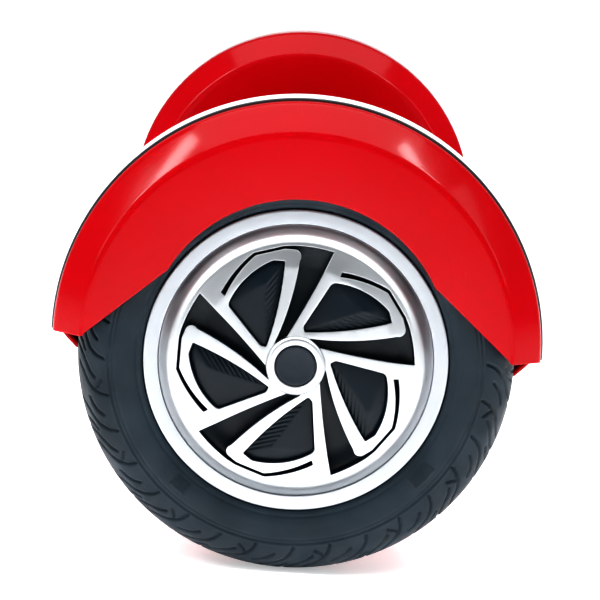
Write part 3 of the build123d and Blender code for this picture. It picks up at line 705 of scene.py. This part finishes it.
def make_wheel_face():
    """Turned trim: spoke plate with black-walled openings, edge cove and hub ring."""
    build = Build()
    holes = [turned_by(shape, i) for i in range(BLADES) for shape in (WINDOW, BLADE)]
    loops = [circle(PLATE_R, 0.6), circle(12.6, 0.6)] + holes
    points = keep_inside(lattice((-58, -58), (58, 58), 1.3), loops)
    panel(build, loops, points, on_dome, 0.28, 3.0, 0.5, side=1, rows=4)
    cove = rounded([(12.0, 63.5), (20.6, 63.5), (21.2, 62.8), (23.4, 60.8), (25.8, 58.7),
                    (27.6, PLATE_R - 0.2), (26.4, PLATE_R - 1.0), (22.0, 56.2), (14.6, 58.2), (12.0, 58.2)],
                   [0.3, 0.2, 0.5, 3.0, 2.5, 0.3, 0.3, 0.3, 0.3, 0.3])
    spin(build, cove, TYRE_X, AXLE_Z)
    ring = rounded([(29.5, 9.7), (HUB_FACE - 0.1, 9.7), (HUB_FACE - 0.1, 12.4), (HUB_FACE - 1.2, 13.7),
                    (29.5, 13.7)], [0.2, 0.35, 0.6, 0.6, 0.2])
    spin(build, ring, TYRE_X, AXLE_Z)
    place(build, "wheel_trim", [TURNED, WHEEL_BLACK], "wheel", "wheel_face", "face_alloy", "half_turn")


def make_rim():
    """Rim: the bright turned ring outside, plain barrel and inboard flange."""
    build = Build()
    profile = rounded([(-20.5, 54.0), (-20.5, RIM_R), (-17.5, RIM_R), (-17.5, 66.0), (17.5, 66.0),
                       (17.5, RIM_R), (RIM_FACE - 0.4, RIM_R), (RIM_FACE, RIM_R - 0.8),
                       (RIM_FACE + 0.1, RIM_RECESS_R), (12.0, RIM_RECESS_R), (12.0, 54.0)],
                      [0.5, 1, 0.5, 0.5, 0.5, 0.3, 0.5, 0.5, 0.5, 0.3, 0.3])
    spin(build, profile, TYRE_X, AXLE_Z)
    place(build, "rim_ring", [RIM_ALLOY], "wheel", "wheel_rim", "rim_alloy", "half_turn")


def window_height(uv):
    """Low pyramid behind one window, and which points are on its ribbed side."""
    rim = WINDOW - APEX
    rim_angle = np.arctan2(rim[:, 1], rim[:, 0])
    order = np.argsort(rim_angle)
    off = uv - APEX
    angle = np.arctan2(off[:, 1], off[:, 0])
    reach = np.interp(angle, rim_angle[order], np.hypot(*rim[order].T), period=2 * math.pi)
    t = np.hypot(*off.T) / reach
    height = APEX_DROP + (FOOT_DROP - APEX_DROP) * t
    tip, foot = (math.atan2(y - APEX[1], x - APEX[0]) for x, y in (WINDOW_TIP, WINDOW_FOOT))
    ribbed = np.mod(angle - tip, 2 * math.pi) < np.mod(foot - tip, 2 * math.pi)
    fade = np.clip(t * 5, 0, 1) * np.clip((1.0 - t) * 8, 0, 1)
    ribs = RIB_RISE * (0.5 + 0.5 * np.cos(uv[:, 0] * 2 * math.pi / RIB_STEP))
    return height - np.where(ribbed, ribs * fade, 0.0), ribbed


def make_motor_cover():
    """Black cover behind the trim: dished floor and a faceted block in each window."""
    build = Build()
    floor = rounded([(12.2, 57.8), (14.6, 57.8), (22.8, 55.6), (22.6, 52.0), (21.0, 46.0), (22.0, 30.0),
                     (25.5, 16.0), (26.0, 9.0), (20.0, 9.0), (16.0, 30.0), (14.0, 53.0), (12.2, 53.9)],
                    [0.3, 0.5, 1.0, 2.0, 4.0, 6.0, 2.0, 0.5, 0.5, 2.0, 1.0, 0.3])
    spin(build, floor, TYRE_X, AXLE_Z)
    loop = turning_left(WINDOW)
    loop = loop - outward(loop) * 0.3
    coarse, fine = (lattice((10, -40), (50, 8), spacing) for spacing in (0.9, 0.42))
    points = np.vstack([coarse[~window_height(coarse)[1]], fine[window_height(fine)[1]]])
    points = keep_inside(points, [loop])
    for i in range(BLADES):
        def block_face(uv, i=i):
            return on_dome(uv, window_height(turned_by(uv, -i))[0])
        panel(build, [turned_by(loop, i)], turned_by(points, i), block_face, 0.25, 6.0, 0.25, rows=3)
    place(build, "wheel_cover", [WHEEL_BLACK], "wheel", "motor_cover_outer", "wheel_black", "half_turn")


def make_hub_cap():
    """Hub cap with a shallow dish and a soft edge."""
    build = Build()
    profile = rounded([(26.5, 0.05), (26.5, 9.5), (33.0, 9.5), (33.4, 8.6), (33.1, 6.0), (33.0, 0.05)],
                      [0.1, 0.3, 0.4, 0.6, 1.5, 0.1])
    spin(build, profile, TYRE_X, AXLE_Z)
    place(build, "hub_centre", [CAP_BLACK], "wheel", "hub_cap", "wheel_black", "half_turn")


# ------------------------------------------------------------------ fender

# The wheel cut-out: where its straight ends meet its arc, and the arc's radius.
KINK_Y, KINK_Z = 61.8, 32.7
CUTOUT_R = 69.6


def cutout_radius(turn):
    """Radius of the wheel cut-out's edge at each angle, round above and straight at the ends."""
    t = np.radians(np.minimum(turn, 180 - turn))
    dy, dz = FENDER_FACE_R - KINK_Y, -KINK_Z
    straight = (FENDER_FACE_R * dz) / (np.cos(t) * dz - np.sin(t) * dy)
    kink = math.atan2(KINK_Z, KINK_Y)
    reach = np.where(t < kink, straight, CUTOUT_R)
    soft = np.hanning(9)
    soft /= soft.sum()
    padded = np.concatenate([[reach[0]] * 4, reach, [reach[-1]] * 4])
    smooth = np.convolve(padded, soft, "valid")
    return np.where(np.abs(t - kink) < math.radians(4), smooth, reach)


def make_fender_cover():
    """Outboard fender: band, bevel and flat side wall down to the wheel cut-out."""
    turns = np.linspace(0, 180, 541)
    rows = []
    for r_in in cutout_radius(turns):
        width = max(FENDER_FACE_R - r_in, 0.05)
        lip = min(1.0, 0.4 * width)
        corner = min(2.2, 0.45 * width)
        back = min(FENDER_FACE_R - MITRE, r_in + max(width - MITRE, 0.02))
        rows.append(rounded([
            (GASKET_OUT, FENDER_R - WALL), (GASKET_OUT, FENDER_R), (FENDER_OUT_BEVEL, FENDER_R),
            (FENDER_OUT, FENDER_FACE_R), (FENDER_OUT, r_in), (FENDER_OUT - WALL, r_in),
            (FENDER_OUT - WALL, back), (FENDER_OUT_BEVEL - MITRE, FENDER_R - WALL)],
            [0.4, 0.7, 2.6, corner, lip, 0.3 * lip, 0.3, 0.5], step=math.inf))
    profile = np.array(rows)
    a = np.radians(turns)[:, None]
    points = np.stack([profile[:, :, 0], profile[:, :, 1] * np.cos(a),
                       FENDER_Z + profile[:, :, 1] * np.sin(a)], 2)
    build = Build()
    build.grid(points[:, ::-1], looped=False)
    place(build, "fender_outer", [RED], "half", "fender_cover", "shell_red")


def make_gasket():
    """Black seal round the fender's top, with the channel that holds the light strip."""
    build = Build()
    low, flush, high, floor = FENDER_R - 3.7, FENDER_R - 0.3, FENDER_R + 1.1, FENDER_R - 2.2
    profile = rounded([(GASKET_IN, low), (GASKET_IN, flush), (STRIP_IN, flush), (STRIP_IN, floor),
                       (STRIP_OUT, floor), (STRIP_OUT, high), (GASKET_OUT, high), (GASKET_OUT, low)],
                      [0.3, 0.5, 0.3, 0.2, 0.2, 0.4, 0.7, 0.3])
    spin(build, profile, 0, FENDER_Z, ARCH)
    place(build, "fender_seal", [GASKET_BLACK], "half", "fender_gasket", "gasket")


def make_light_strip():
    """White light guide that stands proud of the seal, with its latch lug."""
    build = Build()
    floor = FENDER_R - 2.1
    low, high = STRIP_IN + 0.05, STRIP_OUT - 0.05
    profile = rounded([(low, floor), (high, floor), (high, STRIP_R - 0.9), (STRIP_OUT - 1.2, STRIP_R),
                       (STRIP_IN + 1.2, STRIP_R), (low, STRIP_R - 0.9)], [0.2, 0.2, 0.6, 1.0, 1.0, 0.6])
    spin(build, profile, 0, FENDER_Z, ARCH)
    lug = rounded([(STRIP_OUT - 0.6, FENDER_R - 0.5), (STRIP_OUT + 1.9, FENDER_R - 0.5),
                   (STRIP_OUT + 1.9, STRIP_R - 0.2), (STRIP_OUT - 0.6, STRIP_R - 0.2)], 0.3)
    spin(build, lug, 0, FENDER_Z, np.linspace(87.7, 88.9, 4))
    place(build, "light_band", [LIGHT_GUIDE], "half", "fender_light_strip", "light_guide")


# ------------------------------------------------------------------ body

# Gap where the shells meet, then the foot mats, their ribs, and the underside's screws and ports.
SPLIT_GAP = 0.7
MAT_MARGIN, MAT_TAPER, RIB_MARGIN = 22.0, 26.0, 34.0
RIB_FIRST_X, RIB_PITCH, RIB_COUNT = 112.0, 9.0, 15
SCREWS_X, SCREW_Y = (100.0, 165.0, 232.0), 75.0
PORTS = ((160, 22), (160, -20))
PORT_R = 8.1


def eased(x, low, high):
    """Goes from low at the waist to high where the deck starts."""
    return low + smooth_step((x - WAIST_END) / (DECK_START - WAIST_END), high - low)


def half_width(x):
    """Half width at the split line, wider again beside the wheel."""
    flare = np.clip((x - FENDER_IN) / (FENDER_IN_BEVEL - FENDER_IN), 0, 1)
    return eased(x, WAIST_HALF, DECK_HALF) + (FENDER_R - SPLIT_GAP - DECK_HALF) * flare


def half_floor(x):
    """Half width of the flat underside."""
    return eased(x, WAIST_FLOOR, DECK_FLOOR)


def follow(v, knots, blur):
    """Position on each point's own polyline at arc length v, its corners softened over blur.
    knots is (stations, corners, 2), and v starts at the middle of the polyline."""
    middle = knots.shape[1] // 2
    step = np.hypot(*np.moveaxis(np.diff(knots, axis=1), 2, 0))
    length = np.concatenate([np.zeros((len(v), 1)), np.cumsum(step, 1)], 1)
    length -= ((length[:, middle - 1] + length[:, middle]) / 2)[:, None]
    total = np.zeros((len(v), 2))
    rows = np.arange(len(v))
    shifts = np.linspace(-blur, blur, 9)
    for shift in shifts:
        at = v + shift
        k = np.clip((at[:, None] >= length).sum(1) - 1, 0, knots.shape[1] - 2)
        a, b = knots[rows, k], knots[rows, k + 1]
        t = (at - length[rows, k]) / (length[rows, k + 1] - length[rows, k])
        total += a + (b - a) * t[:, None]
    return total / len(shifts)


def deck_knots(x):
    """Corners of the upper shell's cross-section at each x."""
    w, one = half_width(np.minimum(x, FENDER_IN)), np.ones_like(x)
    side = [(w, FENDER_Z * one), (w - LEDGE, SHOULDER_Z * one), (w - SHOULDER_INSET, DECK_Z * one)]
    ring = [(-y, z) for y, z in side] + side[::-1]
    return np.moveaxis(np.array(ring), 2, 0)


def belly_knots(x):
    """Corners of the lower shell's cross-section at each x."""
    w, b, one = half_width(x), half_floor(x), np.ones_like(x)
    side = [(w, FENDER_Z * one), (w - LEDGE, TUCK_Z * one), (b, BELLY_Z * one)]
    ring = side + [(-y, z) for y, z in side[::-1]]
    return np.moveaxis(np.array(ring), 2, 0)


def deck_lift(uv):
    """Deck points (x, arc length from the middle) in space."""
    yz = follow(uv[:, 1], deck_knots(uv[:, 0]), 4.0)
    return np.column_stack([uv[:, 0], yz])


def belly_lift(uv):
    """Belly points (x, arc length from the middle) in space."""
    yz = follow(uv[:, 1], belly_knots(uv[:, 0]), 3.0)
    return np.column_stack([uv[:, 0], yz])


def reach_of(knots):
    """Arc length from the middle of the polyline to its end."""
    return np.hypot(*np.moveaxis(np.diff(knots, axis=1), 2, 0)).sum(1) / 2


def rows_at(xs, rows):
    """Points at each x and at each of that x's own row values."""
    out = []
    for x in xs:
        values = rows(x)
        out.append(np.column_stack([np.full(len(values), x), values]))
    return np.concatenate(out)


def near(value, spread, step):
    """Values about one value."""
    return value + np.arange(-spread, spread + step / 2, step)


def box_loop(x0, x1, y0, y1, soft=1.5, step=1.0):
    """Rectangle with soft corners."""
    return soften(np.array([(x0, y0), (x1, y0), (x1, y1), (x0, y1)]), soft, step)


def mat_loop(grow):
    """Outline of the foot mat, larger all round by grow."""
    x0, x2 = mat_low[0], mat_high[0]
    x1 = x0 + MAT_TAPER
    w0, w1 = (half_width(x) - MAT_MARGIN + grow for x in (x0, x2))
    corners = outline((x0 - grow, -w0), [(x1, -w1)], [(x2 + grow, -w1)], [(x2 + grow, w1)], [(x1, w1)],
                      [(x0 - grow, w0)])
    return soften(corners, 9.0, 1.2)


def even_rings(rings):
    """The rings with the same number of points each, so that they can be joined."""
    count = min(len(ring) for ring in rings)
    fine = [along(ring, 1.0, closed=True) for ring in rings]
    return [ring[np.linspace(0, len(ring) - 1, count).astype(int)] for ring in fine]


def mat_tray():
    """Walls and floor of the well that the foot mat sits in."""
    lip, floor, ledge = DECK_Z - 0.6, DECK_Z - 7.5, DECK_Z - 5.5
    section = [(3.0, lip), (3.0, floor), (-8, floor), (-8, ledge), (0.85, ledge), (0.85, lip)]
    rings = even_rings([mat_loop(grow) for grow, _ in section])
    return np.stack([np.column_stack([ring, np.full(len(ring), z)])
                     for ring, (_, z) in zip(rings, section)], 1)


def make_deck():
    """Upper shell: deck skin with its openings, mat well, and the inboard fender half."""
    end = FENDER_IN + 1.2
    xs = np.arange(BODY_IN, end, 2.0)
    reach = reach_of(deck_knots(xs))
    edge = np.column_stack([np.append(xs, end), np.append(reach, reach[-1])])
    rim = along(np.vstack([edge * (1, -1), edge[::-1]]), 1.6, closed=True)
    lamp_edge = DECK_HALF - SHOULDER_INSET
    lamp = box_loop(150, 215, -lamp_edge - 20.5, -lamp_edge - 5.7)
    window = box_loop(62, 80, -6, 6)

    def rows(x):
        top = half_width(min(x, FENDER_IN)) - SHOULDER_INSET
        end_v = reach_of(deck_knots(np.array([x])))[0]
        slope = np.arange(top + 6.5, end_v - 9, 3.0)
        bend = near(end_v - 6.3, 4, 1.0)
        return np.concatenate([np.arange(-top + 6, top - 6, 4.0), near(top, 5, 1.0), near(-top, 5, 1.0),
                               slope, -slope, bend, -bend])

    grid = rows_at(np.arange(BODY_IN + 2, end - 1, 2.5), rows)
    tray = mat_tray()
    guard = rounded([(FENDER_IN, 12.0), (FENDER_IN, FENDER_FACE_R), (FENDER_IN_BEVEL, FENDER_R),
                     (GASKET_IN, FENDER_R), (GASKET_IN, FENDER_R - WALL),
                     (FENDER_IN_BEVEL + MITRE, FENDER_R - WALL), (FENDER_IN + WALL, FENDER_FACE_R - MITRE),
                     (FENDER_IN + WALL, 12.0)], [0.3, 2.2, 2.6, 0.5, 0.3, 1, 1, 0.3])
    for side in SIDES:
        loops = [rim, mat_loop(0.8), lamp]
        if side == "left":
            loops.append(window)
        build = Build()
        panel(build, loops, keep_inside(grid, loops), deck_lift, 0.8, WALL, 0.7)
        build.grid(tray)
        spin(build, guard, 0, FENDER_Z + 0.15, ARCH)
        settle(build, "deck", side, [RED], "half", "upper_shell", "shell_red")


def make_belly():
    """Lower shell: smooth pan with its holes, and the two lips beside the wheel."""
    xs = np.arange(BODY_IN, FENDER_IN_BEVEL, 2.0)
    xs = np.append(xs, [FENDER_IN_BEVEL, GASKET_IN])
    reach = reach_of(belly_knots(xs)) - 0.1
    tongue = reach[-1] - 15.1
    front = np.column_stack([xs, -reach])
    rim = np.vstack([front, [(GASKET_IN, -tongue), (FENDER_IN_BEVEL, -tongue), (FENDER_IN_BEVEL, tongue),
                             (GASKET_IN, tongue)], (front * (1, -1))[::-1]])
    rim = along(rim, 1.4, closed=True)
    screws = []
    for x in SCREWS_X:
        floor = half_floor(x)
        slope = half_width(x) - LEDGE - floor
        v = floor + math.hypot(slope, TUCK_Z - BELLY_Z) * ((SCREW_Y - floor) / slope)
        for way in (-1, 1):
            screws.append(circle(4.0, 0.8) * (1, 1.3) + (x, way * v))

    def rows(x):
        floor, end_v = half_floor(x), reach_of(belly_knots(np.array([x])))[0]
        slope = np.arange(floor + 6, end_v - 9, 3.5)
        bend = near(end_v - 4.9, 3, 1.0)
        return np.concatenate([np.arange(-floor + 5, floor - 5, 4.0), near(floor, 4, 1.0),
                               near(-floor, 4, 1.0), slope, -slope, bend, -bend])

    grid = rows_at(np.append(np.arange(BODY_IN + 2, FENDER_IN - 2, 2.5),
                             np.arange(FENDER_IN - 1, GASKET_IN - 1, 1.5)), rows)
    grille = [box_loop(38 + 6 * i, 41 + 6 * i, -11, 11, 0.8, 0.6) for i in range(5)]
    ports = [circle(PORT_R, 0.8) + at for at in PORTS]
    for side in SIDES:
        loops = [rim] + screws + (grille if side == "left" else ports)
        build = Build()
        panel(build, loops, keep_inside(grid, loops), belly_lift, 0.8, WALL, 0.7)
        settle(build, "belly", side, [RED], "half", "lower_shell", "shell_red")


RIB_HALF = half_width(mat_high[0]) - RIB_MARGIN


def mat_height(uv):
    """Rounded ribs across the foot mat, inside a plain border."""
    k = np.clip(np.round((uv[:, 0] - RIB_FIRST_X) / RIB_PITCH), 0, RIB_COUNT - 1)
    off = np.abs(uv[:, 0] - RIB_FIRST_X - k * RIB_PITCH)
    rise = np.clip(3.0 - off, 0, 1) * np.clip(RIB_HALF + 0.5 - np.abs(uv[:, 1]), 0, 1)
    return mat_high[2] - 1.0 + smooth_step(rise)


def make_mats():
    """Ribbed foot mats."""
    build = Build()
    loop = mat_loop(0.0)
    xs = np.arange(mat_low[0], mat_high[0], 0.5)
    ys = np.concatenate([np.arange(-RIB_HALF + 2, RIB_HALF - 1, 4.0), near(RIB_HALF, 1.5, 0.5),
                         near(-RIB_HALF, 1.5, 0.5),
                         [RIB_HALF + 5, RIB_HALF + 9, -RIB_HALF - 5, -RIB_HALF - 9]])
    x, y = np.meshgrid(xs, ys)
    points = keep_inside(np.stack([x.ravel(), y.ravel()], 1), [loop])
    panel(build, [loop], points, lambda uv: np.column_stack([uv, mat_height(uv)]), 1.2, 4.4, 0.5)
    place(build, "mat_pad", [MAT_RUBBER], "mat", "foot_mat", "mat_rubber")


# ------------------------------------------------------------------ stage

def aimed(name, data, at, target):
    """A lamp aimed at a point."""
    lamp = bpy.data.objects.new(name, data)
    lamp.location = at
    lamp.rotation_euler = (Vector(target) - Vector(at)).to_track_quat("-Z", "Y").to_euler()
    bpy.context.scene.collection.objects.link(lamp)
    return lamp


def soft_box(name, at, size, power):
    """Soft rectangular lamp aimed at the near wheel."""
    data = bpy.data.lights.new(name, "AREA")
    data.shape = "RECTANGLE"
    data.size, data.size_y = size
    data.energy = power
    aimed(name, data, at, (0.286, 0, 0.11))


def make_stage():
    """Pale floor, white surroundings, soft boxes, and a wash of light for the floor only."""
    build = Build()
    reach = 9000.0
    corners = [(-reach, -reach, 0), (reach, -reach, 0), (reach, reach, 0), (-reach, reach, 0)]
    build.add(corners, [[0, 1, 2, 3]])
    s = Shader("floor_white", (0.93, 0.93, 0.94), 0.3, Emission_Color=(1, 1, 1, 1), Emission_Strength=0.3)
    s.rough(s.ramp(s.noise(3.0, 3.0), 0.26, 0.36))
    floor = build.object("floor", [s.material])
    world = bpy.data.worlds.new("studio")
    world.use_nodes = True
    tree = world.node_tree
    dim, white = tree.nodes["Background"], tree.nodes.new("ShaderNodeBackground")
    dim.inputs["Color"].default_value = (0.96, 0.98, 1.0, 1)
    dim.inputs["Strength"].default_value = 0.36
    white.inputs["Color"].default_value = (1, 1, 1, 1)
    mix, path = tree.nodes.new("ShaderNodeMixShader"), tree.nodes.new("ShaderNodeLightPath")
    tree.links.new(path.outputs["Is Camera Ray"], mix.inputs[0])
    tree.links.new(dim.outputs[0], mix.inputs[1])
    tree.links.new(white.outputs[0], mix.inputs[2])
    tree.links.new(mix.outputs[0], tree.nodes["World Output"].inputs["Surface"])
    bpy.context.scene.world = world
    soft_box("top_box", (0.35, 0.0, 1.6), (1.9, 1.5), 25)
    soft_box("left_box", (1.0, -1.5, 0.9), (0.4, 1.0), 3)
    soft_box("right_box", (1.0, 1.5, 0.9), (0.4, 1.0), 3)
    soft_box("streak_left", (0.66, -0.78, 0.87), (0.07, 0.5), 3.6)
    soft_box("streak_right", (0.67, 0.59, 0.97), (0.06, 0.3), 2.0)
    sun = bpy.data.lights.new("floor_wash", "SUN")
    sun.energy = 1.8
    sun.angle = math.radians(130)
    wash = aimed("floor_wash", sun, (0, 0, 4), (0, 0, 0))
    floor_only = bpy.data.collections.new("floor_only")
    floor_only.objects.link(floor)
    wash.light_linking.receiver_collection = floor_only


YAW, PITCH, ROLL = (math.radians(a) for a in (-0.34, 9.09, 3.87))
CAMERA_AT = (TYRE_X + 1192.8, -6.9, AXLE_Z + 216.1)
CAMERA_LENS = 155.1


def make_camera():
    """Camera beside the wheel, a little above it, with the slight roll of the view."""
    ahead = Vector((-math.cos(PITCH) * math.cos(YAW), -math.cos(PITCH) * math.sin(YAW), -math.sin(PITCH)))
    level = ahead.cross(Vector((0, 0, 1))).normalized()
    up = level.cross(ahead)
    right = level * math.cos(ROLL) + up * math.sin(ROLL)
    up = up * math.cos(ROLL) - level * math.sin(ROLL)
    data = bpy.data.cameras.new("camera")
    data.sensor_width = 36
    data.lens = CAMERA_LENS
    data.clip_end = 50
    camera = bpy.data.objects.new("camera", data)
    turn = Matrix((right, up, -ahead)).transposed().to_4x4()
    camera.matrix_world = Matrix.Translation(Vector(CAMERA_AT) * MM) @ turn
    bpy.context.scene.collection.objects.link(camera)
    bpy.context.scene.camera = camera


def finish_cad_nodes():
    """Every CAD node that stays in view gets its procedural finish."""
    slots = {row["node"]: row["material_slot"] for row in frame["record"]["subparts"]}
    for name, node in frame["nodes"].items():
        finish = CAD_FINISHES.get(slots[name])
        if finish and not node.hide_render:
            node.data.materials.clear()
            node.data.materials.append(finish)


bpy.context.scene.view_settings.view_transform = "Standard"
bpy.context.scene.view_settings.look = "High Contrast"
make_tyre()
make_wheel_face()
make_rim()
make_motor_cover()
make_hub_cap()
make_fender_cover()
make_gasket()
make_light_strip()
make_deck()
make_belly()
make_mats()
finish_cad_nodes()
make_stage()
make_camera()
